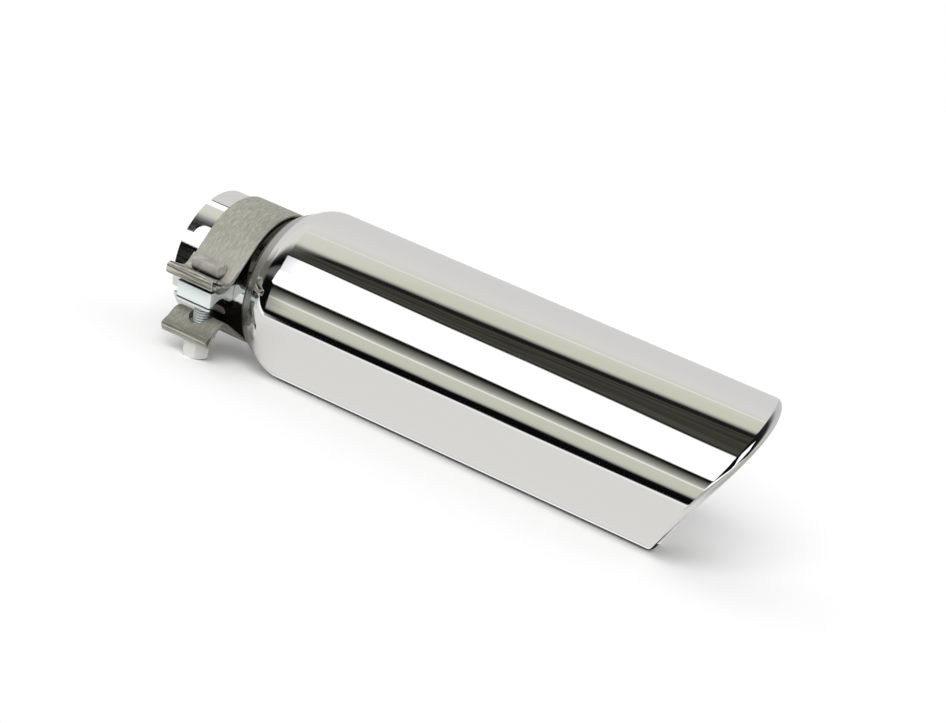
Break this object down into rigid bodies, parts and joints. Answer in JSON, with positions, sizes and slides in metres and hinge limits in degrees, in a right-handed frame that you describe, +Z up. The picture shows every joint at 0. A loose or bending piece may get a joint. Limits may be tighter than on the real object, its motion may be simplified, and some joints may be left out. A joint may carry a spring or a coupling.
{
  "type": "exhaust tip",
  "caption": "Polished round exhaust tip with a slash-cut, rolled-in outlet, a coned neck, a slotted inlet tube and a single-bolt band clamp.",
  "frame": {"origin": "centre of the inlet tube's mouth, on the bore axis", "axes": "+X along the bore from the inlet mouth towards the outlet, +Z up as the part lies on a floor, -Y towards the clamp bolt"},
  "size_m": [0.3704, 0.1184, 0.1016],
  "materials": {
    "polished_shell": "mirror-polished stainless steel",
    "polished_tube": "polished stainless steel",
    "weld": "as-welded, lightly brushed",
    "band": "rolled satin stainless strip with fine scratches",
    "block": "bright zinc plate",
    "bolt": "zinc plate, dull at the head",
    "saddle": "dull zinc plate",
    "nut": "bright zinc plate"
  },
  "bodies": {
    "root": {"outer_shell": "polished_shell", "inlet_tube": "polished_tube", "neck_weld": "weld", "clamp_band": "band", "reaction_block": "block", "t_bolt": "bolt", "saddle_bar": "saddle", "nut": "nut"}
  },
  "joints": []
}
